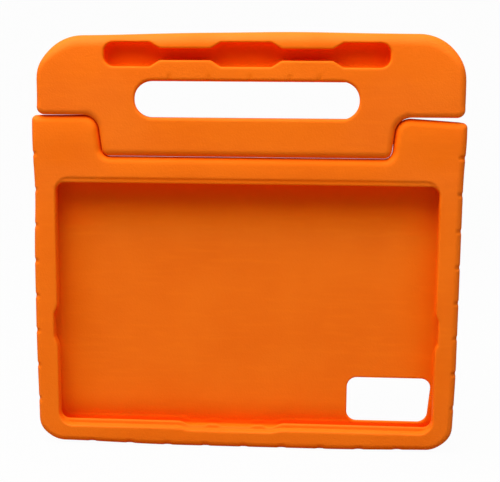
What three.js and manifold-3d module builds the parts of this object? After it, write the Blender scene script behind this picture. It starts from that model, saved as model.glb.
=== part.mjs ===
// Kids tablet case: a moulded foam frame for a tablet, with a carrying handle that folds back as a stand.
// Millimetres, +Z up, screen facing -Y, standing on its lower edge, centred on X and Y.
import * as THREE from 'three';
import { mergeVertices } from 'three/addons/utils/BufferGeometryUtils.js';
import Module from 'manifold-3d';

// Overall sizes of the moulded case
const CASE_WIDTH = 269.2;
const CASE_DEPTH = 25;
const HINGE_HEIGHT = 200;
const EDGE_RADIUS = 4.5;
const BOTTOM_CORNER_RADIUS = 17;

// Ears that carry the hinge, and the channel between them
const EAR_WIDTH = 42.7;
const CHANNEL_DRAFT = 0.12;
const EAR_OUTER_RADIUS = 4.6;
const EAR_INNER_RADIUS = 9.5;
const EAR_TOP_FALL = 1.2;
const FLARE_RADIUS = 10.4;

// Clearances of the hinge, and how far the handle folds back
const RUNNING_GAP = 0.4;
const SIDE_GAP = 0.5;
const CHANNEL_GAP = 0.3;
const WING_GAP = 1.3;
const PEG_CLEARANCE = 0.3;
const STAND_ANGLE = 110;

// Screen opening, its stepped lip and the tablet pocket behind it
const SCREEN_WIDTH = 241.4;
const SCREEN_HEIGHT = 155;
const SCREEN_CENTRE_HEIGHT = 93.2;
const SCREEN_CORNER_RADIUS = 5.5;
const STEP_WIDTH = 2.8;
const STEP_DEPTH = 4.5;
const LIP_THICKNESS = 2.5;
const TABLET_WIDTH = 251.4;
const TABLET_HEIGHT = 165.4;
const TABLET_THICKNESS = 7.6;
const TABLET_CORNER_RADIUS = 8;
const TABLET_CLEARANCE = 0.4;

// Back panel and the raised border round it
const BACK_PANEL_THICKNESS = 5;
const BACK_BORDER = 11;
const BACK_UPPER_BORDER = 13.5;
const BACK_CORNER_RADIUS = 12;

// Notches round the screen, the pads in the lower one, and the port through each side wall
const SIDE_NOTCH_HEIGHT = 78.7;
const SIDE_NOTCH_FLAT = 15;
const SIDE_NOTCH_DEPTH = 2;
const SIDE_NOTCH_TAPER = 4.5;
const LOWER_NOTCH_PLACE = -9.7;
const LOWER_NOTCH_FLAT = 52;
const LOWER_NOTCH_TAPER = 6.5;
const PAD_PLACES = [-20.3, 9.3];
const PAD_WIDTH = 8.6;
const PAD_RISE = 1;
const PORT_THICKNESS = 7;
const PORT_RADIUS = 3.4;

// Camera window in the back panel
const WINDOW_LEFT = 66.4;
const WINDOW_RIGHT = 121;
const WINDOW_BOTTOM = 15.4;
const WINDOW_TOP = 44.9;
const WINDOW_SLANT = 2.8;
const WINDOW_RADIUS = 6.5;

// Grip grooves round the edge of the case and under the handle bar
const GROOVE_WIDTH = 2.6;
const GROOVE_DEPTH = 1;
const GROOVE_RUN_OUT = 7;
const GROOVE_MARGIN = 0.1;
const SIDE_GROOVE_PITCH = 22.7;
const SIDE_GROOVE_LOWEST = 29.6;
const SIDE_GROOVE_COUNT = 8;
const LOWER_GROOVE_PITCH = 24.7;
const LOWER_GROOVE_COUNT = 9;
const BAR_GROOVE_PITCH = 24.5;
const BAR_GROOVE_COUNT = 5;

// Handle
const HANDLE_INSET = 2;
const HANDLE_REACH = 63.5;
const HANDLE_TOP_RADIUS = 31;
const HANDLE_CROWN_RADIUS = 11;
const WING_CORNER_RADIUS = 5;
const BLOCK_CORNER_RADIUS = 5;
const GRIP_LENGTH = 141.2;
const GRIP_HEIGHT = 22.8;
const GRIP_END_RADIUS = 11;
const GRIP_ABOVE_HINGE = 22.8;

// Pen slot in the front of the handle: three pockets joined by narrow channels
const PEN_SLOT_LENGTH = 176;
const PEN_SLOT_BELOW_TOP = 13.3;
const PEN_SLOT_DEPTH = 11;
const PEN_POCKET_WIDTH = 14.8;
const PEN_POCKET_RADIUS = 6;
const PEN_CHANNEL_WIDTH = 7;
const PEN_CENTRE_POCKET = 31;
const PEN_SIDE_POCKET = 28.5;
const PEN_TAPER = 6.3;
const PEN_FLOOR_RADIUS = 2.8;

// Hinge pegs
const PEG_RADIUS = 4;
const PEG_HEAD_RADIUS = 5.5;
const PEG_HEAD_LENGTH = 4;
const PEG_HEAD_CHAMFER = 1;
const PEG_SHANK_IN_HANDLE = 12;
const PEG_SHANK_IN_EAR = 13;

// Colours and finishes
const FOAM_ORANGE = 0xef6c17;
const FOAM_ROUGHNESS = 0.75;
const PEG_IVORY = 0xd9d3c4;
const PEG_ROUGHNESS = 0.45;

// Fineness of the round stretches, and how far a cutter reaches past what it cuts
const ARC_STEP = THREE.MathUtils.degToRad(12);
const EDGE_SEGMENTS = 4;
const LATHE_SEGMENTS = 40;
const PAST = 2 * CASE_WIDTH;

// Sizes that follow from the ones above
const halfWidth = CASE_WIDTH / 2;
const channelHalfWidth = halfWidth - EAR_WIDTH;
const halfDepth = CASE_DEPTH / 2;
const front = -halfDepth;
const back = halfDepth;
const channelFloor = HINGE_HEIGHT - halfDepth - CHANNEL_GAP;
const channelFillet = BLOCK_CORNER_RADIUS + SIDE_GAP;
const blockBottom = HINGE_HEIGHT - halfDepth;
const wingBottom = HINGE_HEIGHT + halfDepth + RUNNING_GAP;
const earTop = wingBottom - WING_GAP;
const handleTop = HINGE_HEIGHT + HANDLE_REACH;
const lipFront = front + STEP_DEPTH;
const lipBack = lipFront + LIP_THICKNESS;
const pocketFloor = lipBack + TABLET_THICKNESS + TABLET_CLEARANCE;
const panelBack = pocketFloor + BACK_PANEL_THICKNESS;
const halfScreen = SCREEN_WIDTH / 2;
const screenBottom = SCREEN_CENTRE_HEIGHT - SCREEN_HEIGHT / 2;
const knuckleRadius = FLARE_RADIUS - RUNNING_GAP;
const roomHalfWidth = channelSide(halfDepth) + FLARE_RADIUS;

const wasm = await Module();
wasm.setup();

// A closed three.js geometry as a solid that can be cut and joined
function solid(geometry) {
  const bare = geometry.clone();
  bare.deleteAttribute('normal');
  bare.deleteAttribute('uv');
  const merged = mergeVertices(bare);
  const vertProperties = new Float32Array(merged.attributes.position.array);
  const triVerts = new Uint32Array(merged.index.array);
  return new wasm.Manifold(new wasm.Mesh({ numProp: 3, vertProperties, triVerts }));
}

// The solid as a named mesh of its own material
function piece(name, body, color, roughness) {
  const { vertProperties, triVerts } = body.getMesh();
  const geometry = new THREE.BufferGeometry();
  geometry.setAttribute('position', new THREE.BufferAttribute(vertProperties, 3));
  geometry.setIndex(new THREE.BufferAttribute(triVerts, 1));
  geometry.computeVertexNormals();
  const mesh = new THREE.Mesh(geometry, new THREE.MeshStandardMaterial({ color, roughness, metalness: 0 }));
  mesh.name = name;
  return mesh;
}

// A closed run of points through corners [u, v, radius], each rounded by an arc, convex or hollow
function outline(corners) {
  const points = [];
  corners.forEach(([u, v, radius = 0], index) => {
    const corner = new THREE.Vector2(u, v);
    if (radius === 0) {
      points.push(corner);
      return;
    }
    const [previousU, previousV] = corners.at(index - 1);
    const [nextU, nextV] = corners[(index + 1) % corners.length];
    const before = new THREE.Vector2(previousU, previousV).sub(corner).normalize();
    const after = new THREE.Vector2(nextU, nextV).sub(corner).normalize();
    const halfAngle = Math.acos(before.dot(after)) / 2;
    const middle = before.clone().add(after).normalize();
    const centre = corner.clone().addScaledVector(middle, radius / Math.sin(halfAngle));
    const start = corner.clone().addScaledVector(before, radius / Math.tan(halfAngle)).sub(centre);
    const sweep = Math.sign(after.cross(before)) * (Math.PI - 2 * halfAngle);
    const steps = Math.max(2, Math.ceil(Math.abs(sweep) / ARC_STEP));
    for (let step = 0; step <= steps; step += 1) {
      const turned = start.clone().rotateAround(new THREE.Vector2(), (sweep * step) / steps);
      points.push(turned.add(centre));
    }
  });
  return points;
}

// A right-hand run of corners and its mirror image, joined as one closed outline
function symmetrical(corners) {
  const left = corners.map(([u, v, radius]) => [-u, v, radius]).reverse();
  return outline([...corners, ...left]);
}

function rectangle(u0, v0, u1, v1, radius = 0) {
  return outline([[u0, v0, radius], [u1, v0, radius], [u1, v1, radius], [u0, v1, radius]]);
}

function shapeOf(points, holes = []) {
  const shape = new THREE.Shape(points);
  shape.holes = holes.map((hole) => new THREE.Path(hole));
  return shape;
}

// An outline in x and z, extruded from one depth to another, with round edges if asked
function alongDepth(points, y0, y1, edge = 0, holes = []) {
  const geometry = new THREE.ExtrudeGeometry(shapeOf(points, holes), {
    depth: y1 - y0 - 2 * edge,
    bevelEnabled: edge > 0,
    bevelThickness: edge,
    bevelSize: edge,
    bevelOffset: -edge,
    bevelSegments: EDGE_SEGMENTS,
  });
  geometry.rotateX(Math.PI / 2);
  geometry.translate(0, y1 - edge, 0);
  return solid(geometry);
}

// An outline in y and z, extruded across the case from one x to another
function across(points, x0, x1, holes = []) {
  const geometry = new THREE.ExtrudeGeometry(shapeOf(points, holes), { depth: x1 - x0, bevelEnabled: false });
  geometry.rotateX(Math.PI / 2);
  geometry.rotateZ(Math.PI / 2);
  geometry.translate(x0, 0, 0);
  return solid(geometry);
}

// An outline in x and y, extruded upwards
function upward(points, z0, z1, holes = []) {
  const geometry = new THREE.ExtrudeGeometry(shapeOf(points, holes), { depth: z1 - z0, bevelEnabled: false });
  geometry.translate(0, 0, z0);
  return solid(geometry);
}

// A profile of corners [radius, x, fillet], in order of rising x, turned about the hinge axis
function aboutHinge(corners) {
  const geometry = new THREE.LatheGeometry(outline(corners), LATHE_SEGMENTS);
  geometry.rotateZ(-Math.PI / 2);
  geometry.translate(0, 0, HINGE_HEIGHT);
  return solid(geometry);
}

// An outline in y and height above the hinge, swung back to the stand position
function swungBack(points, x0, x1) {
  const turn = THREE.MathUtils.degToRad(-STAND_ANGLE);
  const hinge = new THREE.Vector2(0, HINGE_HEIGHT);
  return across(points.map((point) => point.clone().add(hinge).rotateAround(hinge, turn)), x0, x1);
}

function onBothSides(make) {
  return make(-1).add(make(1));
}

// Half width of the channel between the ears, at a height above the hinge axis
function channelSide(above) {
  return channelHalfWidth + CHANNEL_DRAFT * above;
}

// Half width of the handle's block, which runs in that channel
function blockSide(above) {
  return channelSide(above) - SIDE_GAP;
}

// The same profile on either side of the case: on the left its x is negative and its order turns round
function sided(side, corners) {
  const placed = corners.map(([radius, x, fillet]) => [radius, side * x, fillet]);
  return side > 0 ? placed : placed.reverse();
}

// A peg with a head at each end, and with grow added all round the hole that it sits in
function hingePeg(side, grow = 0) {
  const inner = channelSide(0) - PEG_SHANK_IN_HANDLE - PEG_HEAD_LENGTH - grow;
  const outer = channelSide(0) + PEG_SHANK_IN_EAR + PEG_HEAD_LENGTH + grow;
  const head = PEG_HEAD_RADIUS + grow;
  const shank = PEG_RADIUS + grow;
  const headLength = PEG_HEAD_LENGTH + 2 * grow;
  return aboutHinge(sided(side, [
    [0, inner],
    [head - PEG_HEAD_CHAMFER, inner],
    [head, inner + PEG_HEAD_CHAMFER],
    [head, inner + headLength],
    [shank, inner + headLength],
    [shank, outer - headLength],
    [head, outer - headLength],
    [head, outer - PEG_HEAD_CHAMFER],
    [head - PEG_HEAD_CHAMFER, outer],
    [0, outer],
  ]));
}

// The round, domed inner end of an ear
function knuckle(side) {
  return aboutHinge(sided(side, [
    [0, channelSide(0)],
    [halfDepth, channelSide(halfDepth), knuckleRadius],
    [halfDepth, PAST],
    [0, PAST],
  ]));
}

// The space behind and above the ears and the channel that the handle swings through
function swingRoom() {
  const reach = halfDepth + RUNNING_GAP;
  const aboveEars = across(rectangle(0, HINGE_HEIGHT, PAST, PAST), -PAST, PAST);
  const behindChannel = across(rectangle(0, channelFloor, PAST, PAST), -roomHalfWidth, roomHalfWidth);
  const foldedBlock = swungBack(rectangle(-reach, 0, reach, PAST), -roomHalfWidth, roomHalfWidth);
  return aboveEars.add(behindChannel).add(foldedBlock).subtract(onBothSides(knuckle));
}

// The scoop across the back of an ear that takes the handle's wing when it is folded back
function wingSeat(side) {
  const reach = halfDepth + RUNNING_GAP;
  const wing = outline([
    [-reach, halfDepth],
    [reach, halfDepth, EDGE_RADIUS + RUNNING_GAP],
    [reach, PAST],
    [-reach, PAST],
  ]);
  return side > 0 ? swungBack(wing, roomHalfWidth, PAST) : swungBack(wing, -PAST, -roomHalfWidth);
}

// Opening for the screen: a step above and below that runs out in the corners, then the lip's own edge
function screenOpening() {
  const screenTop = screenBottom + SCREEN_HEIGHT;
  const step = rectangle(
    -halfScreen,
    screenBottom - STEP_WIDTH,
    halfScreen,
    screenTop + STEP_WIDTH,
    SCREEN_CORNER_RADIUS + STEP_WIDTH,
  );
  const edge = rectangle(-halfScreen, screenBottom, halfScreen, screenTop, SCREEN_CORNER_RADIUS);
  return alongDepth(step, -PAST, lipFront).add(alongDepth(edge, -PAST, pocketFloor));
}

function tabletPocket() {
  const halfPocket = TABLET_WIDTH / 2 + TABLET_CLEARANCE;
  const rise = TABLET_HEIGHT / 2 + TABLET_CLEARANCE;
  const pocket = rectangle(
    -halfPocket,
    SCREEN_CENTRE_HEIGHT - rise,
    halfPocket,
    SCREEN_CENTRE_HEIGHT + rise,
    TABLET_CORNER_RADIUS,
  );
  return alongDepth(pocket, lipBack, pocketFloor);
}

// Notch with tapered ends in the rim's inner edge, at each side
function sideNotch(side) {
  const half = SIDE_NOTCH_FLAT / 2;
  const wide = half + 2 * SIDE_NOTCH_TAPER;
  const notch = outline([
    [side * (halfScreen - SIDE_NOTCH_DEPTH), SIDE_NOTCH_HEIGHT - wide],
    [side * (halfScreen + SIDE_NOTCH_DEPTH), SIDE_NOTCH_HEIGHT - half],
    [side * (halfScreen + SIDE_NOTCH_DEPTH), SIDE_NOTCH_HEIGHT + half],
    [side * (halfScreen - SIDE_NOTCH_DEPTH), SIDE_NOTCH_HEIGHT + wide],
  ]);
  return alongDepth(notch, front, lipBack);
}

// Port through the side wall behind each notch, halfway through the tablet's thickness
function sidePort(side) {
  const depth = (lipBack + pocketFloor) / 2;
  const port = rectangle(
    depth - PORT_THICKNESS / 2,
    SIDE_NOTCH_HEIGHT - SIDE_NOTCH_FLAT / 2,
    depth + PORT_THICKNESS / 2,
    SIDE_NOTCH_HEIGHT + SIDE_NOTCH_FLAT / 2,
    PORT_RADIUS,
  );
  return side > 0 ? across(port, halfScreen, PAST) : across(port, -PAST, -halfScreen);
}

// The wider notch in the lower lip, less the two low pads left standing in it
function lowerNotch() {
  const half = LOWER_NOTCH_FLAT / 2;
  const wide = half + 2 * LOWER_NOTCH_TAPER;
  const floor = screenBottom - STEP_WIDTH;
  const notch = outline([
    [LOWER_NOTCH_PLACE - half, floor],
    [LOWER_NOTCH_PLACE + half, floor],
    [LOWER_NOTCH_PLACE + wide, screenBottom + STEP_WIDTH],
    [LOWER_NOTCH_PLACE - wide, screenBottom + STEP_WIDTH],
  ]);
  return PAD_PLACES.reduce((cut, place) => {
    const pad = rectangle(place - PAD_WIDTH / 2, 0, place + PAD_WIDTH / 2, floor + PAD_RISE);
    return cut.subtract(alongDepth(pad, lipFront, back));
  }, alongDepth(notch, front, lipBack));
}

function cameraWindow() {
  const frame = outline([
    [WINDOW_LEFT, WINDOW_BOTTOM, WINDOW_RADIUS],
    [WINDOW_RIGHT - WINDOW_SLANT, WINDOW_BOTTOM, WINDOW_RADIUS],
    [WINDOW_RIGHT, WINDOW_TOP, WINDOW_RADIUS],
    [WINDOW_LEFT, WINDOW_TOP, WINDOW_RADIUS],
  ]);
  return alongDepth(frame, lipBack, PAST);
}

function backRecess() {
  const inner = halfWidth - BACK_BORDER;
  const top = channelFloor - BACK_UPPER_BORDER;
  return alongDepth(rectangle(-inner, BACK_BORDER, inner, top, BACK_CORNER_RADIUS), panelBack, PAST);
}

// Grooves up both sides: each runs straight back and fades out on the front and back faces
function sideGrooves() {
  const uncut = rectangle(
    -halfWidth + GROOVE_DEPTH,
    front - GROOVE_MARGIN,
    halfWidth - GROOVE_DEPTH,
    back + GROOVE_MARGIN,
    GROOVE_RUN_OUT,
  );
  const cuts = Array.from({ length: SIDE_GROOVE_COUNT }, (_, index) => {
    const height = SIDE_GROOVE_LOWEST + index * SIDE_GROOVE_PITCH - GROOVE_WIDTH / 2;
    return upward(rectangle(-PAST, -PAST, PAST, PAST), height, height + GROOVE_WIDTH, [uncut]);
  });
  return cuts.reduce((all, cut) => all.add(cut));
}

// The same grooves across the lower edge
function lowerGrooves() {
  const uncut = outline([
    [front - GROOVE_MARGIN, GROOVE_DEPTH, GROOVE_RUN_OUT],
    [back + GROOVE_MARGIN, GROOVE_DEPTH, GROOVE_RUN_OUT],
    [back + GROOVE_MARGIN, PAST / 2],
    [front - GROOVE_MARGIN, PAST / 2],
  ]);
  const cuts = Array.from({ length: LOWER_GROOVE_COUNT }, (_, index) => {
    const place = (index - (LOWER_GROOVE_COUNT - 1) / 2) * LOWER_GROOVE_PITCH - GROOVE_WIDTH / 2;
    return across(rectangle(-PAST, -PAST, PAST, PAST), place, place + GROOVE_WIDTH, [uncut]);
  });
  return cuts.reduce((all, cut) => all.add(cut));
}

function caseBody() {
  const frame = symmetrical([
    [halfWidth, 0, BOTTOM_CORNER_RADIUS],
    [halfWidth, earTop - EAR_TOP_FALL, EAR_OUTER_RADIUS],
    [channelSide(earTop - HINGE_HEIGHT), earTop, EAR_INNER_RADIUS],
    [channelSide(channelFloor - HINGE_HEIGHT), channelFloor, channelFillet],
  ]);
  return alongDepth(frame, front, back, EDGE_RADIUS)
    .subtract(swingRoom())
    .subtract(onBothSides(wingSeat))
    .subtract(screenOpening())
    .subtract(tabletPocket())
    .subtract(onBothSides(sideNotch))
    .subtract(onBothSides(sidePort))
    .subtract(lowerNotch())
    .subtract(cameraWindow())
    .subtract(backRecess())
    .subtract(sideGrooves())
    .subtract(lowerGrooves())
    .subtract(onBothSides((side) => hingePeg(side, PEG_CLEARANCE)));
}

// The block's lower back edge is round about the hinge, so it turns in the channel
function blockUnderside() {
  const barrel = aboutHinge([
    [0, -blockSide(0)],
    [halfDepth, -blockSide(-halfDepth), BLOCK_CORNER_RADIUS],
    [halfDepth, blockSide(-halfDepth), BLOCK_CORNER_RADIUS],
    [0, blockSide(0)],
  ]);
  return across(rectangle(0, 0, PAST, HINGE_HEIGHT), -PAST, PAST).subtract(barrel);
}

function penSlot() {
  const wide = PEN_POCKET_WIDTH / 2;
  const narrow = PEN_CHANNEL_WIDTH / 2;
  const end = PEN_SLOT_LENGTH / 2;
  const height = handleTop - PEN_SLOT_BELOW_TOP;
  const run = [
    [end, wide, PEN_POCKET_RADIUS],
    [end - PEN_SIDE_POCKET, wide],
    [end - PEN_SIDE_POCKET - PEN_TAPER, narrow],
    [PEN_CENTRE_POCKET / 2 + PEN_TAPER, narrow],
    [PEN_CENTRE_POCKET / 2, wide],
  ];
  const upper = [...run, ...run.map(([x, half, radius]) => [-x, half, radius]).reverse()];
  const lower = upper.map(([x, half, radius]) => [x, -half, radius]).reverse();
  const slot = outline([...upper, ...lower].map(([x, half, radius]) => [x, height + half, radius]));
  return alongDepth(slot, front - PEN_SLOT_DEPTH, front + PEN_SLOT_DEPTH, PEN_FLOOR_RADIUS);
}

// Finger grooves over the front and back edges under the handle bar
function barGrooves() {
  const gripCentre = HINGE_HEIGHT + GRIP_ABOVE_HINGE;
  const barBottom = gripCentre + GRIP_HEIGHT / 2;
  const uncut = outline([
    [front, barBottom, GROOVE_RUN_OUT],
    [back, barBottom, GROOVE_RUN_OUT],
    [back, handleTop + EDGE_RADIUS],
    [front, handleTop + EDGE_RADIUS],
  ]);
  const cuts = Array.from({ length: BAR_GROOVE_COUNT }, (_, index) => {
    const place = (index - (BAR_GROOVE_COUNT - 1) / 2) * BAR_GROOVE_PITCH - GROOVE_WIDTH / 2;
    return across(rectangle(-PAST, gripCentre, PAST, PAST), place, place + GROOVE_WIDTH, [uncut]);
  });
  return cuts.reduce((all, cut) => all.add(cut));
}

function handle() {
  const halfHandle = halfWidth - HANDLE_INSET;
  const face = symmetrical([
    [blockSide(-halfDepth), blockBottom, BLOCK_CORNER_RADIUS],
    [blockSide(wingBottom - HINGE_HEIGHT), wingBottom, FLARE_RADIUS],
    [halfHandle, wingBottom, WING_CORNER_RADIUS],
    [halfHandle, handleTop, HANDLE_TOP_RADIUS],
  ]);
  const gripCentre = HINGE_HEIGHT + GRIP_ABOVE_HINGE;
  const grip = rectangle(
    -GRIP_LENGTH / 2,
    gripCentre - GRIP_HEIGHT / 2,
    GRIP_LENGTH / 2,
    gripCentre + GRIP_HEIGHT / 2,
    GRIP_END_RADIUS,
  );
  const section = outline([
    [front, 0],
    [back, 0],
    [back, handleTop, HANDLE_CROWN_RADIUS],
    [front, handleTop, HANDLE_CROWN_RADIUS],
  ]);
  return alongDepth(face, front, back, EDGE_RADIUS, [grip])
    .intersect(across(section, -PAST, PAST))
    .subtract(blockUnderside())
    .subtract(penSlot())
    .subtract(barGrooves())
    .subtract(onBothSides((side) => hingePeg(side, PEG_CLEARANCE)));
}

const model = new THREE.Group();
model.add(piece('case_body', caseBody(), FOAM_ORANGE, FOAM_ROUGHNESS));
model.add(piece('handle', handle(), FOAM_ORANGE, FOAM_ROUGHNESS));
model.add(piece('hinge_peg_left', hingePeg(-1), PEG_IVORY, PEG_ROUGHNESS));
model.add(piece('hinge_peg_right', hingePeg(1), PEG_IVORY, PEG_ROUGHNESS));

export default model;
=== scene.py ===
import math

import bpy
import numpy as np
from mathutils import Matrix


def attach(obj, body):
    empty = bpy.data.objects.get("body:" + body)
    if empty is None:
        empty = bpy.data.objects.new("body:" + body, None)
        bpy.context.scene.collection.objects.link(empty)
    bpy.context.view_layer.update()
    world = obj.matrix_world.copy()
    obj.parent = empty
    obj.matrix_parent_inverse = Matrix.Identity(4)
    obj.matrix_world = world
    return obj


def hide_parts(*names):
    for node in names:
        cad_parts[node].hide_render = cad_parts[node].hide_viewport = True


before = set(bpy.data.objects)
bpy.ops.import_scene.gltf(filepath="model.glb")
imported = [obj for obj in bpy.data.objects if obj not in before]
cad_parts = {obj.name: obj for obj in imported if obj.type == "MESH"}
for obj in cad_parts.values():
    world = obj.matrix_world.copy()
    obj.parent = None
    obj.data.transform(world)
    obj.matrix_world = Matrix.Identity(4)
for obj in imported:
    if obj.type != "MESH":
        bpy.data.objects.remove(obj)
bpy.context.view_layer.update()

import openvdb
from mathutils import Matrix, Vector

# Camera
# It stands 0.63 m in front of the case, a little above the middle and right of it,
# and looks slightly down and to the left. The picture is 500 pixels wide.
MM = 0.001
PICTURE_WIDTH_PX = 500
FOCAL_LENGTH_PX = 1000
CAMERA_PLACE = (0.0399, -0.6305, 0.2255)
CAMERA_YAW = math.radians(-3.38)
CAMERA_PITCH = math.radians(8.27)
CAMERA_ROLL = math.radians(0.44)

camera_data = bpy.data.cameras.new("camera")
camera_data.sensor_width = 36
camera_data.lens = camera_data.sensor_width * FOCAL_LENGTH_PX / PICTURE_WIDTH_PX
camera = bpy.data.objects.new("camera", camera_data)
bpy.context.collection.objects.link(camera)
bpy.context.scene.camera = camera
upright = Matrix.Rotation(math.pi / 2, 4, "X")
turned = Matrix.Rotation(-CAMERA_YAW, 4, "Z")
tipped = Matrix.Rotation(-CAMERA_PITCH, 4, "X")
rolled = Matrix.Rotation(CAMERA_ROLL, 4, "Z")
camera.matrix_world = Matrix.Translation(CAMERA_PLACE) @ turned @ tipped @ upright @ rolled
bpy.context.scene.view_settings.view_transform = "Standard"

# Floor and backdrop
# One white sheet that the case stands on and that curves up behind it.
# The camera sees it as white paper with the case's soft shadow on it.
SHEET_HALF_WIDTH = 2.2
SHEET_FRONT = -1.6
SHEET_BACK = 1.6
SHEET_CURVE = 0.6
SHEET_TOP = 2.4
SHEET_SHADE = 0.35
SHEET_GLOW = 0.97

curve_steps = 24
sheet_line = [(SHEET_FRONT, 0.0)]
for step in range(curve_steps + 1):
    angle = math.pi / 2 * step / curve_steps
    rise = SHEET_CURVE * (1 - math.cos(angle))
    sheet_line.append((SHEET_BACK - SHEET_CURVE + SHEET_CURVE * math.sin(angle), rise))
sheet_line.append((SHEET_BACK, SHEET_TOP))
sheet_points = [(side * SHEET_HALF_WIDTH, y, z) for y, z in sheet_line for side in (-1, 1)]
sheet_faces = [(2 * i, 2 * i + 1, 2 * i + 3, 2 * i + 2) for i in range(len(sheet_line) - 1)]
sheet_mesh = bpy.data.meshes.new("backdrop")
sheet_mesh.from_pydata(sheet_points, [], sheet_faces)
sheet_mesh.shade_smooth()
backdrop = bpy.data.objects.new("backdrop", sheet_mesh)
bpy.context.collection.objects.link(backdrop)


def seen_ray(nodes, links):
    """1 for what the camera sees, straight or through gloss or glass, and 0 for light that
    falls on the case."""
    rays = nodes.new("ShaderNodeLightPath")
    straight_or_glossy = nodes.new("ShaderNodeMath")
    straight_or_glossy.operation = "MAXIMUM"
    links.new(rays.outputs["Is Camera Ray"], straight_or_glossy.inputs[0])
    links.new(rays.outputs["Is Glossy Ray"], straight_or_glossy.inputs[1])
    seen = nodes.new("ShaderNodeMath")
    seen.operation = "MAXIMUM"
    links.new(straight_or_glossy.outputs["Value"], seen.inputs[0])
    links.new(rays.outputs["Is Transmission Ray"], seen.inputs[1])
    return seen.outputs["Value"]


paper = bpy.data.materials.new("white_paper")
paper.use_nodes = True
nodes, links = paper.node_tree.nodes, paper.node_tree.links
nodes.clear()
paper_output = nodes.new("ShaderNodeOutputMaterial")
paper_surface = nodes.new("ShaderNodeMixShader")
paper_body = nodes.new("ShaderNodeBsdfDiffuse")
paper_body.inputs["Color"].default_value = (SHEET_SHADE, SHEET_SHADE, SHEET_SHADE, 1)
paper_glow = nodes.new("ShaderNodeEmission")
paper_glow.inputs["Color"].default_value = (1, 1, 1, 1)
paper_glow.inputs["Strength"].default_value = 1
paper_seen = seen_ray(nodes, links)
paper_share = nodes.new("ShaderNodeMath")
paper_share.operation = "MULTIPLY"
paper_share.inputs[1].default_value = SHEET_GLOW
links.new(paper_seen, paper_share.inputs[0])
links.new(paper_share.outputs["Value"], paper_surface.inputs["Fac"])
links.new(paper_body.outputs["BSDF"], paper_surface.inputs[1])
links.new(paper_glow.outputs["Emission"], paper_surface.inputs[2])
links.new(paper_surface.outputs["Shader"], paper_output.inputs["Surface"])
sheet_mesh.materials.append(paper)

# Light
# A wide soft lamp hangs over the case and two smaller ones stand high in front, the right one
# a little stronger, and dim even light comes from all round.
ROOM_LIGHT = 0.08
TOP_POWER = 54
TOP_SIZE = 1.6
TOP_PLACE = (-0.35, -0.4, 1.6)
KEY_SIZE = 0.9
LEFT_KEY_POWER = 3.5
LEFT_KEY_PLACE = (-0.8, -0.9, 1.3)
RIGHT_KEY_POWER = 5.5
RIGHT_KEY_PLACE = (0.8, -0.9, 1.3)
LAMP_TARGET = Vector((0, 0, 0.13))

world = bpy.data.worlds.new("room")
bpy.context.scene.world = world
world.use_nodes = True
nodes, links = world.node_tree.nodes, world.node_tree.links
nodes.clear()
room_output = nodes.new("ShaderNodeOutputWorld")
room_light = nodes.new("ShaderNodeBackground")
room_light.inputs["Color"].default_value = (1, 1, 1, 1)
room_level = nodes.new("ShaderNodeMapRange")
room_level.inputs["To Min"].default_value = ROOM_LIGHT
room_level.inputs["To Max"].default_value = 1
links.new(seen_ray(nodes, links), room_level.inputs["Value"])
links.new(room_level.outputs["Result"], room_light.inputs["Strength"])
links.new(room_light.outputs["Background"], room_output.inputs["Surface"])


def add_lamp(name, place, size, power):
    lamp_data = bpy.data.lights.new(name, "AREA")
    lamp_data.size = size
    lamp_data.energy = power
    lamp = bpy.data.objects.new(name, lamp_data)
    lamp.location = place
    lamp.rotation_euler = (LAMP_TARGET - Vector(place)).to_track_quat("-Z", "Y").to_euler()
    bpy.context.collection.objects.link(lamp)


add_lamp("top_lamp", TOP_PLACE, TOP_SIZE, TOP_POWER)
add_lamp("left_key_lamp", LEFT_KEY_PLACE, KEY_SIZE, LEFT_KEY_POWER)
add_lamp("right_key_lamp", RIGHT_KEY_PLACE, KEY_SIZE, RIGHT_KEY_POWER)

# Case body
# One moulding of closed-cell foam: the rim, the step and lip round the screen, the tablet
# pocket, the back panel with its camera window, and the two ears that carry the hinge.
# Every edge comes out of the mould round. The form is in millimetres and its finish in metres.
CASE_WIDTH = 269.2
CASE_DEPTH = 25
HINGE_HEIGHT = 200
CASE_EDGE = 4.6
EAR_CROWN = 1.0
EAR_CROWN_HEIGHT = 16
EAR_CROWN_SPAN = (90, 102)
BAR_CROWN = 0.7
BAR_CROWN_HEIGHT = 12
BAR_CROWN_SPAN = (93, 83)
BOTTOM_CORNER = 17
EAR_WIDTH = 42.7
CHANNEL_DRAFT = 0.12
CHANNEL_CORNER = 5.5
EAR_OUTER_CORNER = 3.2
EAR_INNER_CORNER = 9.5
LEFT_EAR_RISE = 1.2
LEFT_EAR_FALL = 0.3
RIGHT_EAR_RISE = 1.15
RIGHT_EAR_FALL = 3
FLARE_RADIUS = 10.4
RUNNING_GAP = 0.4
CHANNEL_GAP = 0.15
WING_GAP = 1.3
STAND_ANGLE = math.radians(110)
SCREEN_LEFT = -119.6
SCREEN_RIGHT = 120.2
SCREEN_BOTTOM = 15.7
SCREEN_TOP = 170.7
SCREEN_CORNER = 5.5
STEP_WIDTH = 2.8
STEP_DEPTH = 4.5
UPPER_STEP_DEPTH = 0.55
UPPER_STEP_SPAN = (100, 165)
LIP_THICKNESS = 2.5
POCKET_HALF_WIDTH = 126.1
POCKET_BOTTOM = 10.1
POCKET_TOP = 176.3
POCKET_CORNER = 8
POCKET_DEPTH = 8
PANEL_THICKNESS = 5
PANEL_SAG = 3.2
PANEL_SAG_FROM = 30
PANEL_SAG_HEIGHT = 20
BACK_BORDER = 11
BACK_UPPER_BORDER = 13.5
BACK_CORNER = 12
SIDE_NOTCH = (78.7, 7.5, 4.5)
SIDE_NOTCH_DEPTH = 2
LOWER_NOTCH_LEFT = (-42.5, -34.5)
LOWER_NOTCH_RIGHT = (26, 17)
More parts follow.
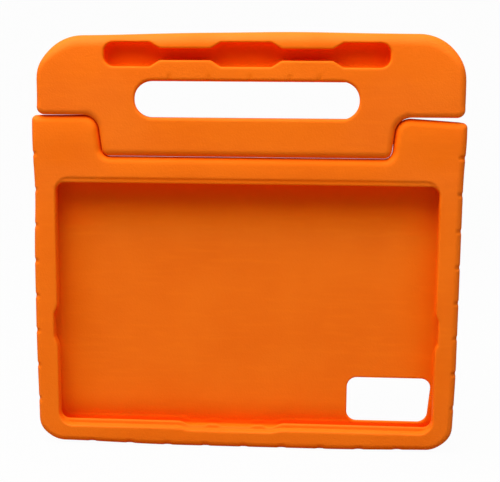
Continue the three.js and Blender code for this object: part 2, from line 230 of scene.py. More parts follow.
LOWER_NOTCH_FADE = (60, 40)
STEP_DIP = 1.4
LIP_DIP = 2.7
PAD_PLACES = (-20.3, 9.3)
PAD_HALF_WIDTH = 4.3
PAD_RISE = 1.3
PORT_HALF_THICKNESS = 3.5
PORT_CORNER = 3.4
PORT_EDGE = 1
WINDOW_CORNERS = ((66.4, 15.4), (118.2, 15.4), (121, 44.9), (66.4, 44.9))
WINDOW_CORNER = 6.5
SIDE_GROOVE_DEPTH = 0.8
SIDE_GROOVE_HALF_WIDTH = 1.4
SIDE_GROOVES = [29.6 + 22.7 * i for i in range(8)]
SIDE_GROOVE_FADE = (129.8, 133)
GROOVE_FLANK_SHARE = 0.35
GROOVE_ROUNDING = (5, 2)
LOWER_GROOVE_DEPTH = 0.5
LOWER_GROOVE_HALF_WIDTH = 2.4
LOWER_GROOVES = [24.7 * i for i in range(-4, 5)]
LOWER_GROOVE_FADE = (5, 2)
RIM_EDGE = 1.3
SIDE_EDGE = 0.9
SIDE_EDGE_SPAN = (114, 119)
STEP_FOOT = 0.6
LIP_EDGE = 0.9
POCKET_FOOT = 1.2
NOTCH_CORNER = 1.5
WINDOW_EDGE = 0.9
RECESS_FOOT = 1.5
RECESS_EDGE = 2
SLOPE_EDGE = 2
SEAT_CORNER = 3.2
SEAT_EDGE = 1.5
PEG_RADIUS = 4
PEG_HEAD_RADIUS = 5.5
PEG_HEAD_LENGTH = 4
PEG_INNER_END = 75.9
PEG_OUTER_END = 108.9
PEG_CLEARANCE = 0.3
WAIST_HEIGHT = 162
WAIST_SPREAD = 24
WAIST_DEPTH = 1.1
LEFT_DRAW_IN = 0.8
LEFT_DRAW_SPAN = (90, 10)
RIGHT_LEAN = 1.4
RIGHT_LEAN_SPAN = (168, 204)
RIGHT_DRAW_IN = 1.5
RIGHT_DRAW_SPAN = (60, 0)
SIDE_BOW_SPAN = (100, 128)
LOWER_BOW = 1.5
LOWER_BOW_MIDDLE = 6
LOWER_BOW_SPAN = (45, 125)
LOWER_BOW_FADE = (14, 4)
WOBBLE_DEPTH = 0.09
LONG_WAVE = (31, 27)
LONG_WAVE_START = (0.7, 1.9)
SHORT_WAVE = (17, 9, 13)
SHORT_WAVE_START = (-1.1, 0.4)
BODY_WOBBLE_SPAN = (184, 172)
ARC_STEP = math.radians(6)
VOXEL = 0.6
MARGIN = 3
FACE_BUDGET = 185000

half_width = CASE_WIDTH / 2
half_depth = CASE_DEPTH / 2
channel_floor = HINGE_HEIGHT - half_depth - CHANNEL_GAP
wing_bottom = HINGE_HEIGHT + half_depth + RUNNING_GAP
ear_top = wing_bottom - WING_GAP
lip_front = -half_depth + STEP_DEPTH
lip_back = lip_front + LIP_THICKNESS
pocket_floor = lip_back + POCKET_DEPTH
panel_back = pocket_floor + PANEL_THICKNESS
channel_half_width = half_width - EAR_WIDTH
room_half_width = channel_half_width + CHANNEL_DRAFT * half_depth + FLARE_RADIUS


def grid_over(low, high):
    """Sample places x, y and z in millimetres through a box, as three open arrays."""
    axes = [np.arange(a - MARGIN, b + MARGIN, VOXEL, dtype=np.float32) for a, b in zip(low, high)]
    return axes[0][:, None, None], axes[1][None, :, None], axes[2][None, None, :]


def outline(corners):
    """A closed run of points through corners (u, v, radius), each rounded by an arc."""
    points = []
    for index, (u, v, radius) in enumerate(corners):
        corner = np.array((u, v), float)
        before = np.array(corners[index - 1][:2], float) - corner
        after = np.array(corners[(index + 1) % len(corners)][:2], float) - corner
        before /= np.linalg.norm(before)
        after /= np.linalg.norm(after)
        if radius == 0:
            points.append(corner)
            continue
        half_angle = math.acos(float(before @ after)) / 2
        middle = (before + after) / np.linalg.norm(before + after)
        centre = corner + middle * radius / math.sin(half_angle)
        start = corner + before * radius / math.tan(half_angle) - centre
        side = np.sign(after[0] * before[1] - after[1] * before[0])
        sweep = side * (math.pi - 2 * half_angle)
        steps = max(3, math.ceil(abs(sweep) / ARC_STEP))
        for step in range(steps + 1):
            turn = sweep * step / steps
            cos, sin = math.cos(turn), math.sin(turn)
            points.append(centre + (start[0] * cos - start[1] * sin, start[0] * sin + start[1] * cos))
    return np.array(points)


def rounded_rectangle(u0, v0, u1, v1, radius):
    return outline([(u0, v0, radius), (u1, v0, radius), (u1, v1, radius), (u0, v1, radius)])


def distance_to(points, u, v):
    """Distance from each (u, v) to a closed outline, below zero inside it."""
    u, v = np.broadcast_arrays(u, v)
    nearest = np.full(u.shape, np.inf, np.float32)
    inside = np.zeros(u.shape, bool)
    for (u0, v0), (u1, v1) in zip(points, np.roll(points, -1, axis=0)):
        du, dv = u1 - u0, v1 - v0
        share = np.clip(((u - u0) * du + (v - v0) * dv) / max(du * du + dv * dv, 1e-12), 0, 1)
        nearest = np.minimum(nearest, (u - u0 - share * du) ** 2 + (v - v0 - share * dv) ** 2)
        if dv != 0:
            inside ^= ((v0 > v) != (v1 > v)) & (u < u0 + (v - v0) * du / dv)
    return np.where(inside, -1, 1) * np.sqrt(nearest).astype(np.float32)


def meet(a, b, radius):
    """Where two solids overlap, with the edge between their surfaces rounded to radius."""
    inner = np.minimum(np.maximum(a, b), -radius)
    return inner + np.hypot(np.maximum(a + radius, 0), np.maximum(b + radius, 0))


def cut(body, tool, radius):
    """The body less the tool, with the edge that the cut leaves rounded to radius."""
    return meet(body, -tool, radius)


def ease(start, end, value):
    """Rises smoothly from 0 at start to 1 at end, which may be the lower of the two."""
    share = np.clip((value - start) / (end - start), 0, 1)
    return share * share * (3 - 2 * share)


def channel_side(above):
    return channel_half_width + CHANNEL_DRAFT * above


def swung(y, z):
    """The places as the folded handle sees them: its own y and height above the hinge."""
    cos, sin = math.cos(STAND_ANGLE), math.sin(STAND_ANGLE)
    above = z - HINGE_HEIGHT
    return y * cos - above * sin, y * sin + above * cos


def peg_hole(x, radial, grow):
    """The space that the two hinge pegs fill, grown by a clearance."""
    along = np.abs(x)
    length = np.maximum(PEG_INNER_END - grow - along, along - PEG_OUTER_END - grow)
    shank_end = PEG_HEAD_LENGTH + grow
    heads = np.minimum(along - PEG_INNER_END - shank_end, PEG_OUTER_END - shank_end - along)
    head = np.maximum(np.maximum(radial - PEG_HEAD_RADIUS - grow, heads), length)
    return np.minimum(np.maximum(radial - PEG_RADIUS - grow, length), head)


def grooves_at(places, spread, along):
    """1 in a row of grooves or on a row of pads, flat in their middle and steep at their sides."""
    return sum(np.exp(-(((along - place) / spread) ** 4)) for place in places)


def bump_at(place, spread, along):
    """1 at a place, falling smoothly to 0 on both sides of it."""
    return np.exp(-(((along - place) / spread) ** 2))


def crown(z, top, height, depth):
    """How far a face falls back below its upper edge, where it is gently rounded."""
    return depth * np.clip((z - top + height) / height, 0, 1) ** 2


def side_bow(x, z):
    """How far the soft sides stand out from true: a waist below the left ear, a right ear that
    leans out, and sides that draw in towards the lower corners."""
    waist = WAIST_DEPTH * bump_at(WAIST_HEIGHT, WAIST_SPREAD, z)
    left = -waist - LEFT_DRAW_IN * ease(*LEFT_DRAW_SPAN, z)
    right = RIGHT_LEAN * ease(*RIGHT_LEAN_SPAN, z) - RIGHT_DRAW_IN * ease(*RIGHT_DRAW_SPAN, z)
    return np.where(x < 0, left, right) * ease(*SIDE_BOW_SPAN, np.abs(x))


def lower_bow(x, z):
    """How far the lower edge curves up towards its corners."""
    return LOWER_BOW * ease(*LOWER_BOW_SPAN, np.abs(x - LOWER_BOW_MIDDLE)) * ease(*LOWER_BOW_FADE, z)


def mould_wobble(x, y, z):
    """How far the foam's skin stands off true, in slow waves of a tenth of a millimetre or two."""
    long_x, long_z = LONG_WAVE
    short_x, short_y, short_z = SHORT_WAVE
    long_wave = np.sin(x / long_x + LONG_WAVE_START[0]) * np.sin(z / long_z + LONG_WAVE_START[1])
    slant = np.sin(x / short_x + SHORT_WAVE_START[0] + y / short_y)
    return WOBBLE_DEPTH * (long_wave + slant * np.sin(z / short_z + SHORT_WAVE_START[1]))


def moulded_mesh(name, field, x, y, z):
    """The smooth skin where the field is zero, as an object in metres."""
    grid = openvdb.FloatGrid(MARGIN)
    grid.copyFromArray(np.ascontiguousarray(field, dtype=np.float32))
    points, triangles, quads = grid.convertToPolygons(isovalue=0.0, adaptivity=0.0)
    origin = np.array((x.flat[0], y.flat[0], z.flat[0]))
    points = (points * VOXEL + origin) * MM
    mesh = bpy.data.meshes.new(name)
    mesh.vertices.add(len(points))
    mesh.vertices.foreach_set("co", points.astype(np.float32).ravel())
    corners = np.concatenate((triangles.ravel(), quads.ravel())).astype(np.int32)
    sizes = np.concatenate((np.full(len(triangles), 3), np.full(len(quads), 4)))
    mesh.loops.add(len(corners))
    mesh.loops.foreach_set("vertex_index", corners[::-1].copy())
    mesh.polygons.add(len(sizes))
    starts = np.concatenate(([0], np.cumsum(sizes[::-1])[:-1])).astype(np.int32)
    mesh.polygons.foreach_set("loop_start", starts)
    mesh.update(calc_edges=True)
    mesh.validate()
    piece = bpy.data.objects.new(name, mesh)
    bpy.context.collection.objects.link(piece)
    return piece


def lighten(piece):
    """Takes faces off the flats and keeps them on the round edges."""
    count = sum(len(face.vertices) - 2 for face in piece.data.polygons)
    slimmer = piece.modifiers.new("slimmer", "DECIMATE")
    slimmer.ratio = min(1, FACE_BUDGET / count)
    slim = bpy.data.meshes.new_from_object(piece.evaluated_get(bpy.context.evaluated_depsgraph_get()))
    piece.modifiers.clear()
    piece.data = slim
    slim.shade_smooth()


x, y, z = grid_over((-half_width, -half_depth, 0), (half_width, half_depth, ear_top))
side = np.abs(x)
above = z - HINGE_HEIGHT
radial = np.hypot(y, above)
swung_y, swung_up = swung(y, z)
reach = half_depth + RUNNING_GAP

left_ear_top = ear_top + LEFT_EAR_RISE
right_ear_top = ear_top + RIGHT_EAR_RISE
frame_outline = outline([
    (half_width, 0, BOTTOM_CORNER),
    (half_width, right_ear_top - RIGHT_EAR_FALL, EAR_OUTER_CORNER),
    (channel_side(ear_top - HINGE_HEIGHT), right_ear_top, EAR_INNER_CORNER),
    (channel_side(channel_floor - HINGE_HEIGHT), channel_floor, CHANNEL_CORNER),
    (-channel_side(channel_floor - HINGE_HEIGHT), channel_floor, CHANNEL_CORNER),
    (-channel_side(ear_top - HINGE_HEIGHT), left_ear_top, EAR_INNER_CORNER),
    (-half_width, left_ear_top - LEFT_EAR_FALL, EAR_OUTER_CORNER),
    (-half_width, 0, BOTTOM_CORNER),
])
face = distance_to(frame_outline, x - np.sign(x) * side_bow(x, z), z - lower_bow(x, z))
ear_crown = crown(z, ear_top, EAR_CROWN_HEIGHT, EAR_CROWN)
bar_crown = crown(z, channel_floor, BAR_CROWN_HEIGHT, BAR_CROWN)
face_crown = ear_crown * ease(*EAR_CROWN_SPAN, side) + bar_crown * ease(*BAR_CROWN_SPAN, side)
block = meet(meet(face, face_crown - y - half_depth, CASE_EDGE), y - half_depth, CASE_EDGE)
side_grooves = grooves_at(SIDE_GROOVES, SIDE_GROOVE_HALF_WIDTH, z) * ease(*SIDE_GROOVE_FADE, side)
lower_grooves = grooves_at(LOWER_GROOVES, LOWER_GROOVE_HALF_WIDTH, x) * ease(*LOWER_GROOVE_FADE, z)
grooves = np.maximum(SIDE_GROOVE_DEPTH * side_grooves, LOWER_GROOVE_DEPTH * lower_grooves)
rounding = ease(half_depth - GROOVE_ROUNDING[0], half_depth - GROOVE_ROUNDING[1], np.abs(y))
grooves = grooves * (GROOVE_FLANK_SHARE + (1 - GROOVE_FLANK_SHARE) * rounding)
block = block + grooves + mould_wobble(x, y, z) * ease(*BODY_WOBBLE_SPAN, z)

inner = side - room_half_width
body = cut(block, np.maximum(-y, HINGE_HEIGHT - z), 0)
body = cut(body, np.maximum(np.maximum(-y, channel_floor - z), inner), 0)
body = cut(body, np.maximum(np.maximum(np.abs(swung_y) - reach, -swung_up), inner), SLOPE_EDGE)
knuckle_end = (channel_side(radial) - side) / math.hypot(1, CHANNEL_DRAFT)
knuckle = meet(radial - half_depth, knuckle_end, FLARE_RADIUS - RUNNING_GAP)
body = np.minimum(body, np.maximum(block, knuckle))
seat = meet(swung_y - reach, half_depth - swung_up, SEAT_CORNER)
body = cut(body, np.maximum(np.maximum(seat, -reach - swung_y), -inner), SEAT_EDGE)

near_foot = ease(*LOWER_NOTCH_FADE, z)
notch_share = ease(*LOWER_NOTCH_LEFT, x) * ease(*LOWER_NOTCH_RIGHT, x) * near_foot
pads = grooves_at(PAD_PLACES, PAD_HALF_WIDTH, x) * near_foot
step = distance_to(rounded_rectangle(
    SCREEN_LEFT,
    SCREEN_BOTTOM - STEP_WIDTH,
    SCREEN_RIGHT,
    SCREEN_TOP + STEP_WIDTH,
    SCREEN_CORNER + STEP_WIDTH,
), x, z + STEP_DIP * notch_share)
step_floor = lip_front + (UPPER_STEP_DEPTH - STEP_DEPTH) * ease(*UPPER_STEP_SPAN, z)
rim_edge = RIM_EDGE + (SIDE_EDGE - RIM_EDGE) * ease(*SIDE_EDGE_SPAN, side)
body = cut(body, meet(step, y - step_floor, STEP_FOOT), rim_edge)
screen = distance_to(rounded_rectangle(
    SCREEN_LEFT,
    SCREEN_BOTTOM,
    SCREEN_RIGHT,
    SCREEN_TOP,
    SCREEN_CORNER,
), x, z + LIP_DIP * notch_share - PAD_RISE * pads)
panel_sag = PANEL_SAG * (np.maximum(PANEL_SAG_FROM - z, 0) / PANEL_SAG_HEIGHT) ** 2
sagged = y - np.minimum(panel_sag, PANEL_SAG)
body = cut(body, np.maximum(screen, sagged - pocket_floor), LIP_EDGE)
pocket = distance_to(rounded_rectangle(
    -POCKET_HALF_WIDTH, POCKET_BOTTOM, POCKET_HALF_WIDTH, POCKET_TOP, POCKET_CORNER), x, z)
middle = (lip_back + pocket_floor) / 2
body = cut(body, meet(pocket, np.maximum(lip_back - y, sagged - pocket_floor), POCKET_FOOT), LIP_EDGE)

notch_height, half_flat, taper = SIDE_NOTCH
notch = distance_to(outline([
    (SCREEN_RIGHT - SIDE_NOTCH_DEPTH, notch_height - half_flat - 2 * taper, 0),
    (SCREEN_RIGHT + SIDE_NOTCH_DEPTH, notch_height - half_flat, NOTCH_CORNER),
    (SCREEN_RIGHT + SIDE_NOTCH_DEPTH, notch_height + half_flat, NOTCH_CORNER),
    (SCREEN_RIGHT - SIDE_NOTCH_DEPTH, notch_height + half_flat + 2 * taper, 0),
]), side, z)
body = cut(body, np.maximum(notch, y - lip_back), LIP_EDGE)
port = distance_to(rounded_rectangle(
    middle - PORT_HALF_THICKNESS,
    notch_height - half_flat,
    middle + PORT_HALF_THICKNESS,
    notch_height + half_flat,
    PORT_CORNER,
), y, z)
body = cut(body, np.maximum(port, SCREEN_RIGHT - side), PORT_EDGE)

window = distance_to(outline([(u, v, WINDOW_CORNER) for u, v in WINDOW_CORNERS]), x, z)
body = cut(body, np.maximum(window, lip_back - y), WINDOW_EDGE)
recess_half = half_width - BACK_BORDER
recess = distance_to(rounded_rectangle(
    -recess_half, BACK_BORDER, recess_half, channel_floor - BACK_UPPER_BORDER, BACK_CORNER), x, z)
body = cut(body, meet(recess, panel_back - y, RECESS_FOOT), RECESS_EDGE)
body = np.maximum(body, -peg_hole(side, radial, PEG_CLEARANCE))

case_body = moulded_mesh("moulded_body", body, x, y, z)
lighten(case_body)


def add_node(tree, kind, values=None, **settings):
    """A shader node with its settings. Each named input takes a value, or a link from a socket."""
    node = tree.nodes.new(kind)
    for name, setting in settings.items():
        setattr(node, name, setting)
    for name, value in (values or {}).items():
        if isinstance(value, bpy.types.NodeSocket):
            tree.links.new(value, node.inputs[name])
        else:
            node.inputs[name].default_value = value
    return node


def add_sockets(group, in_out, kinds):
    for name, kind in kinds.items():
        group.interface.new_socket(name=name, in_out=in_out, socket_type=kind)


# The skin that the mould leaves: a fine leathery grain with a few pinholes for the height,
# and slow clouds with faint level flow streaks for the colour and the sheen.
PINHOLE_SCALE = 210.0
PINHOLE_RIM = (0.03, 0.07)
PINHOLE_DEPTH = -1.2
STREAK_SCALE = 420.0
STREAK_STRETCH = (0.12, 0.4, 1.0)

skin_group = bpy.data.node_groups.new("foam_skin", "ShaderNodeTree")
add_sockets(skin_group, "INPUT", {
    "Place": "NodeSocketVector",
    "Grain Size": "NodeSocketFloat",
    "Cloud Size": "NodeSocketFloat",
})
add_sockets(skin_group, "OUTPUT", {
    "Height": "NodeSocketFloat",
    "Clouds": "NodeSocketFloat",
    "Streaks": "NodeSocketFloat",
})
skin_in = add_node(skin_group, "NodeGroupInput")
skin_out = add_node(skin_group, "NodeGroupOutput")
place = skin_in.outputs["Place"]
grain_scale = add_node(skin_group, "ShaderNodeMath", {
    0: 1.0, 1: skin_in.outputs["Grain Size"],
}, operation="DIVIDE")
cloud_scale = add_node(skin_group, "ShaderNodeMath", {
    0: 1.0, 1: skin_in.outputs["Cloud Size"],
}, operation="DIVIDE")
cells = add_node(skin_group, "ShaderNodeTexVoronoi", {
    "Vector": place, "Scale": grain_scale.outputs["Value"], "Randomness": 1.0,
})
waves = add_node(skin_group, "ShaderNodeTexNoise", {
    "Vector": place, "Scale": grain_scale.outputs["Value"], "Detail": 1.0, "Roughness": 0.6,
})
pores = add_node(skin_group, "ShaderNodeTexVoronoi", {
    "Vector": place, "Scale": PINHOLE_SCALE, "Randomness": 1.0,
})
pinholes = add_node(skin_group, "ShaderNodeMapRange", {
    "Value": pores.outputs["Distance"],
    "From Min": PINHOLE_RIM[0],
    "From Max": PINHOLE_RIM[1],
    "To Min": PINHOLE_DEPTH,
    "To Max": 0.0,
})
grain = add_node(skin_group, "ShaderNodeMath", {
    0: cells.outputs["Distance"], 1: waves.outputs["Fac"],
}, operation="ADD")
height = add_node(skin_group, "ShaderNodeMath", {
    0: grain.outputs["Value"], 1: pinholes.outputs["Result"],
}, operation="ADD")
clouds = add_node(skin_group, "ShaderNodeTexNoise", {
    "Vector": place, "Scale": cloud_scale.outputs["Value"], "Detail": 2.0, "Roughness": 0.5,
})
level_stretch = add_node(skin_group, "ShaderNodeMapping", {"Vector": place, "Scale": STREAK_STRETCH})
streaks = add_node(skin_group, "ShaderNodeTexNoise", {
    "Vector": level_stretch.outputs["Vector"], "Scale": STREAK_SCALE, "Detail": 1.0, "Roughness": 0.5,
})
skin_group.links.new(height.outputs["Value"], skin_out.inputs["Height"])
skin_group.links.new(clouds.outputs["Fac"], skin_out.inputs["Clouds"])
skin_group.links.new(streaks.outputs["Fac"], skin_out.inputs["Streaks"])

FOAM_DEEP = (0.85, 0.146, 0.0030, 1)
FOAM_PALE = (0.88, 0.161, 0.0040, 1)
STREAK_TINT = (0.90, 0.170, 0.0040, 1)
# Painted shade: the deeper red that the foam's colour is painted where it is sheltered from above.
PAINTED_SHADE_TINT = (1.0, 0.075, 0.0008, 1)
SHELTER_REACH = 0.035
SHELTER_SAMPLES = 8
PAINTED_SHADE_SPAN = (0.05, 0.38)
CLOUD_SPAN = (0.35, 0.65)
STREAK_SPAN = (0.5, 0.8)
STREAK_STRENGTH = 0.5
SHEEN_SPAN = (0.3, 0.7)
SHEEN_ROUGHNESS = (0.72, 0.6)
SHINE_SPAN = (0.35, 0.65)
SHINE = 0.12
GRAIN_SIZE = 0.0011
GRAIN_DEPTH = 0.00007
CLOUD_SIZE = 0.045


def foam_finish(name, shift):
    """The orange foam, with its grain and clouds shifted so that no two mouldings match. Where
    it is sheltered from above, its colour is painted redder and darker as painted shade, standing in
    for the light that only comes there off other foam, and its gloss is turned down."""
    finish = bpy.data.materials.new(name)
    finish.use_nodes = True
    tree = finish.node_tree
    tree.nodes.clear()
    coordinates = add_node(tree, "ShaderNodeTexCoord")
    shifted = add_node(tree, "ShaderNodeMapping", {
        "Vector": coordinates.outputs["Object"], "Location": shift,
    })
    skin = add_node(tree, "ShaderNodeGroup", node_tree=skin_group)
    tree.links.new(shifted.outputs["Vector"], skin.inputs["Place"])
    skin.inputs["Grain Size"].default_value = GRAIN_SIZE
    skin.inputs["Cloud Size"].default_value = CLOUD_SIZE
    cloud_share = add_node(tree, "ShaderNodeMapRange", {
        "Value": skin.outputs["Clouds"], "From Min": CLOUD_SPAN[0], "From Max": CLOUD_SPAN[1],
    })
    clouded = add_node(tree, "ShaderNodeMixRGB", {
        "Fac": cloud_share.outputs["Result"], "Color1": FOAM_DEEP, "Color2": FOAM_PALE,
    })
    streak_share = add_node(tree, "ShaderNodeMapRange", {
        "Value": skin.outputs["Streaks"],
        "From Min": STREAK_SPAN[0],
        "From Max": STREAK_SPAN[1],
        "To Max": STREAK_STRENGTH,
    })
    colour = add_node(tree, "ShaderNodeMixRGB", {
        "Fac": streak_share.outputs["Result"], "Color1": clouded.outputs["Color"], "Color2": STREAK_TINT,
    })
    # Painted shade: an occlusion test towards the sky paints the colour redder where the foam is
    # sheltered from above, and the same test takes the gloss away there.
    upwards = add_node(tree, "ShaderNodeCombineXYZ", {"Z": 1.0})
    sky = add_node(tree, "ShaderNodeAmbientOcclusion", {
        "Distance": SHELTER_REACH, "Normal": upwards.outputs["Vector"],
    }, samples=SHELTER_SAMPLES)
    painted_shade_openness = add_node(tree, "ShaderNodeMapRange", {
        "Value": sky.outputs["AO"], "From Min": PAINTED_SHADE_SPAN[0], "From Max": PAINTED_SHADE_SPAN[1],
    })
    # Painted shade: sheltered places get the deeper red tint in place of the foam's own colour.
    painted_shade_colour = add_node(tree, "ShaderNodeMixRGB", {
        "Fac": painted_shade_openness.outputs["Result"], "Color1": PAINTED_SHADE_TINT, "Color2": colour.outputs["Color"],
    })
    shine = add_node(tree, "ShaderNodeMapRange", {
        "Value": sky.outputs["AO"],
        "From Min": SHINE_SPAN[0],
        "From Max": SHINE_SPAN[1],
        "To Max": SHINE,
    })
    sheen_level = add_node(tree, "ShaderNodeMapRange", {
        "Value": skin.outputs["Clouds"],
        "From Min": SHEEN_SPAN[0],
        "From Max": SHEEN_SPAN[1],
        "To Min": SHEEN_ROUGHNESS[0],
        "To Max": SHEEN_ROUGHNESS[1],
    })
    grain_bump = add_node(tree, "ShaderNodeBump", {
        "Height": skin.outputs["Height"], "Strength": 1.0, "Distance": GRAIN_DEPTH,
    })
    foam = add_node(tree, "ShaderNodeBsdfPrincipled", {
        "Base Color": painted_shade_colour.outputs["Color"],
        "Roughness": sheen_level.outputs["Result"],
        "Normal": grain_bump.outputs["Normal"],
        "Specular IOR Level": shine.outputs["Result"],
    })
    add_node(tree, "ShaderNodeOutputMaterial", {"Surface": foam.outputs["BSDF"]})
    return finish


case_body.data.materials.append(foam_finish("body_foam", (0, 0, 0)))
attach(case_body, "case")
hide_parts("case_body")

# Handle
# The second moulding of the same foam: wings that lie over the ears, the block that turns
# between them, the hand hole with faint finger ticks over it, and the pen slot in its front.
HANDLE_LEFT = -131
HANDLE_RIGHT = 134.2
HANDLE_TOP = 263.5
HANDLE_SHOULDER = 28.5
HANDLE_CROWN = 1.6
HANDLE_CROWN_HEIGHT = 38
HANDLE_EDGE = 4.5
CROWN_EDGE = 8
CROWN_EDGE_DROP = (22, 8)
WING_CORNER = 5
WING_EDGE = 3.2
WING_EDGE_RISE = (2, 8)
WING_EDGE_SPAN = (95, 105)
BLOCK_CORNER = 5
SIDE_GAP = 0.5
GRIP = (-68.6, 69.4, 211.4, 234.2)
GRIP_DRAFT = 0.0026
GRIP_END = 11
GRIP_EDGE = 1.8
PEN_SLOT_HEIGHT = 250.2
PEN_SLOT_HALF_LENGTH = 88
PEN_SLOT_DEPTH = 11
PEN_POCKET_HALF = 7.4
PEN_POCKET_CORNER = 6
PEN_NECK_CORNER = 2
PEN_CHANNEL_HALF = 3.5
PEN_CENTRE_HALF = 15.5
PEN_SIDE_POCKET = 28.5
PEN_TAPER = 6.3
PEN_FLOOR = 2.8
PEN_RIM = 1.2
FINGER_GROOVES = (-47, -23, 2.5, 27, 45)
FINGER_GROOVE_DEPTH = 0.35
FINGER_GROOVE_HALF_WIDTH = 1.4
FINGER_FACE = (4, 2)
FINGER_FOOT = 2
FINGER_TOP = (5, 2)
HANDLE_SKIN_SHIFT = (0.31, 0.17, 0.09)
TOP_ARCH = 0.9
TOP_ARCH_PLACE = 22
TOP_ARCH_SPREAD = 38
TOP_RIGHT_RISE = 0.25
TOP_RIGHT_SPAN = (0, 60)
TOP_LEFT_DROP = 1.4
TOP_LEFT_SPAN = (-20, -115)
TOP_BOW_FADE = (228, 256)
HANDLE_WOBBLE_SHIFT = 40
HANDLE_WOBBLE_SPAN = (216, 228)


def block_side(height):
    return channel_side(height) - SIDE_GAP


def top_bow(x, z):
    """How far the long upper edge is arched from true."""
    arch = TOP_ARCH * bump_at(TOP_ARCH_PLACE, TOP_ARCH_SPREAD, x)
    arch = arch + TOP_RIGHT_RISE * ease(*TOP_RIGHT_SPAN, x) - TOP_LEFT_DROP * ease(*TOP_LEFT_SPAN, x)
    return arch * ease(*TOP_BOW_FADE, z)


block_bottom = HINGE_HEIGHT - half_depth
x, y, z = grid_over((HANDLE_LEFT, -half_depth, block_bottom), (HANDLE_RIGHT, half_depth, HANDLE_TOP))
side = np.abs(x)
radial = np.hypot(y, z - HINGE_HEIGHT)

handle_outline = outline([
    (block_side(-half_depth), block_bottom, BLOCK_CORNER),
    (block_side(wing_bottom - HINGE_HEIGHT), wing_bottom, FLARE_RADIUS),
    (HANDLE_RIGHT, wing_bottom, WING_CORNER),
    (HANDLE_RIGHT, HANDLE_TOP, HANDLE_SHOULDER),
    (HANDLE_LEFT, HANDLE_TOP, HANDLE_SHOULDER),
    (HANDLE_LEFT, wing_bottom, WING_CORNER),
    (-block_side(wing_bottom - HINGE_HEIGHT), wing_bottom, FLARE_RADIUS),
    (-block_side(-half_depth), block_bottom, BLOCK_CORNER),
])
level = z - top_bow(x, z)
face = distance_to(handle_outline, x, level)
near_top = ease(HANDLE_TOP - CROWN_EDGE_DROP[0], HANDLE_TOP - CROWN_EDGE_DROP[1], level)
off_wings = ease(wing_bottom + WING_EDGE_RISE[0], wing_bottom + WING_EDGE_RISE[1], z)
edge = HANDLE_EDGE + (CROWN_EDGE - HANDLE_EDGE) * near_top
edge = edge - (HANDLE_EDGE - WING_EDGE) * (1 - off_wings) * ease(*WING_EDGE_SPAN, side)
face_crown = crown(level, HANDLE_TOP, HANDLE_CROWN_HEIGHT, HANDLE_CROWN)
handle = meet(meet(face, face_crown - y - half_depth, edge), y - half_depth, edge)
handle = handle + mould_wobble(x + HANDLE_WOBBLE_SHIFT, y, z) * ease(*HANDLE_WOBBLE_SPAN, z)

barrel_end = (side - block_side(-radial)) / math.hypot(1, CHANNEL_DRAFT)
barrel = meet(radial - half_depth, barrel_end, BLOCK_CORNER)
handle = np.maximum(handle, np.minimum(-np.maximum(-y, z - HINGE_HEIGHT), barrel))

grip_left, grip_right, grip_bottom, grip_top = GRIP
grip_outline = rounded_rectangle(grip_left, grip_bottom, grip_right, grip_top, GRIP_END)
grip = distance_to(grip_outline, x / (1 + GRIP_DRAFT * (y + half_depth)), z)
handle = cut(handle, grip, GRIP_EDGE)
fingers = grooves_at(FINGER_GROOVES, FINGER_GROOVE_HALF_WIDTH, x)
fingers = fingers * ease(half_depth - FINGER_FACE[0], half_depth - FINGER_FACE[1], np.abs(y))
fingers = fingers * ease(grip_top - FINGER_FOOT, grip_top, z)
fingers = fingers * ease(grip_top + FINGER_TOP[0], grip_top + FINGER_TOP[1], z)
handle = handle + FINGER_GROOVE_DEPTH * fingers

pen_corners = [
    (PEN_SLOT_HALF_LENGTH, PEN_POCKET_HALF, PEN_POCKET_CORNER),
    (PEN_SLOT_HALF_LENGTH - PEN_SIDE_POCKET, PEN_POCKET_HALF, PEN_NECK_CORNER),
    (PEN_SLOT_HALF_LENGTH - PEN_SIDE_POCKET - PEN_TAPER, PEN_CHANNEL_HALF, PEN_NECK_CORNER),
    (PEN_CENTRE_HALF + PEN_TAPER, PEN_CHANNEL_HALF, PEN_NECK_CORNER),
    (PEN_CENTRE_HALF, PEN_POCKET_HALF, PEN_NECK_CORNER),
]
pen_outline = outline(
    [(u, PEN_SLOT_HEIGHT + v, r) for u, v, r in pen_corners]
    + [(-u, PEN_SLOT_HEIGHT + v, r) for u, v, r in reversed(pen_corners)]
    + [(-u, PEN_SLOT_HEIGHT - v, r) for u, v, r in pen_corners]
    + [(u, PEN_SLOT_HEIGHT - v, r) for u, v, r in reversed(pen_corners)]
)
slot = distance_to(pen_outline, x, z)
handle = cut(handle, meet(slot, y + half_depth - PEN_SLOT_DEPTH, PEN_FLOOR), PEN_RIM)
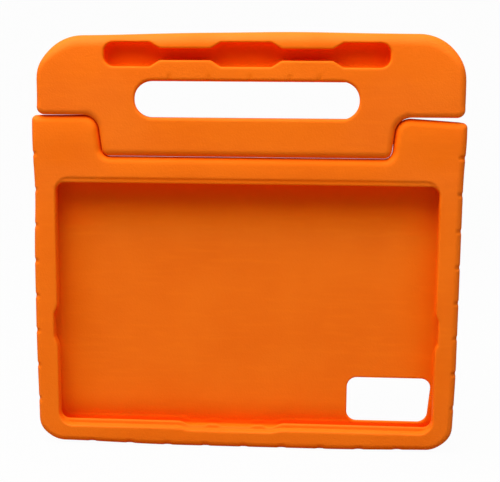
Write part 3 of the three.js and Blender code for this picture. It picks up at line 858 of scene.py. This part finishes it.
handle = np.maximum(handle, -peg_hole(side, radial, PEG_CLEARANCE))

carrying_handle = moulded_mesh("moulded_handle", handle, x, y, z)
lighten(carrying_handle)
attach(carrying_handle, "handle")
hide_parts("handle")
carrying_handle.data.materials.append(foam_finish("handle_foam", HANDLE_SKIN_SHIFT))

# Hinge pegs
# Two plastic pegs with a head at each end, moulded with the foam of the ears and the handle,
# on which the handle turns. They keep their CAD solids and are hidden inside the foam.
PEG_DEEP = (0.66, 0.61, 0.50, 1)
PEG_PALE = (0.72, 0.68, 0.58, 1)
PEG_GRAIN_SIZE = 0.0006
PEG_GRAIN_DEPTH = 0.00002
PEG_CLOUD_SIZE = 0.015
PEG_ROUGHNESS = (0.4, 0.5)

peg_plastic = bpy.data.materials.new("peg_plastic")
peg_plastic.use_nodes = True
tree = peg_plastic.node_tree
tree.nodes.clear()
coordinates = add_node(tree, "ShaderNodeTexCoord")
skin = add_node(tree, "ShaderNodeGroup", node_tree=skin_group)
tree.links.new(coordinates.outputs["Object"], skin.inputs["Place"])
skin.inputs["Grain Size"].default_value = PEG_GRAIN_SIZE
skin.inputs["Cloud Size"].default_value = PEG_CLOUD_SIZE
colour = add_node(tree, "ShaderNodeMixRGB", {
    "Fac": skin.outputs["Clouds"], "Color1": PEG_DEEP, "Color2": PEG_PALE,
})
gloss = add_node(tree, "ShaderNodeMapRange", {
    "Value": skin.outputs["Streaks"], "To Min": PEG_ROUGHNESS[0], "To Max": PEG_ROUGHNESS[1],
})
peg_bump = add_node(tree, "ShaderNodeBump", {
    "Height": skin.outputs["Height"], "Strength": 1.0, "Distance": PEG_GRAIN_DEPTH,
})
plastic = add_node(tree, "ShaderNodeBsdfPrincipled", {
    "Base Color": colour.outputs["Color"],
    "Roughness": gloss.outputs["Result"],
    "Normal": peg_bump.outputs["Normal"],
})
add_node(tree, "ShaderNodeOutputMaterial", {"Surface": plastic.outputs["BSDF"]})
for name in ("hinge_peg_left", "hinge_peg_right"):
    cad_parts[name].material_slots[0].material = peg_plastic
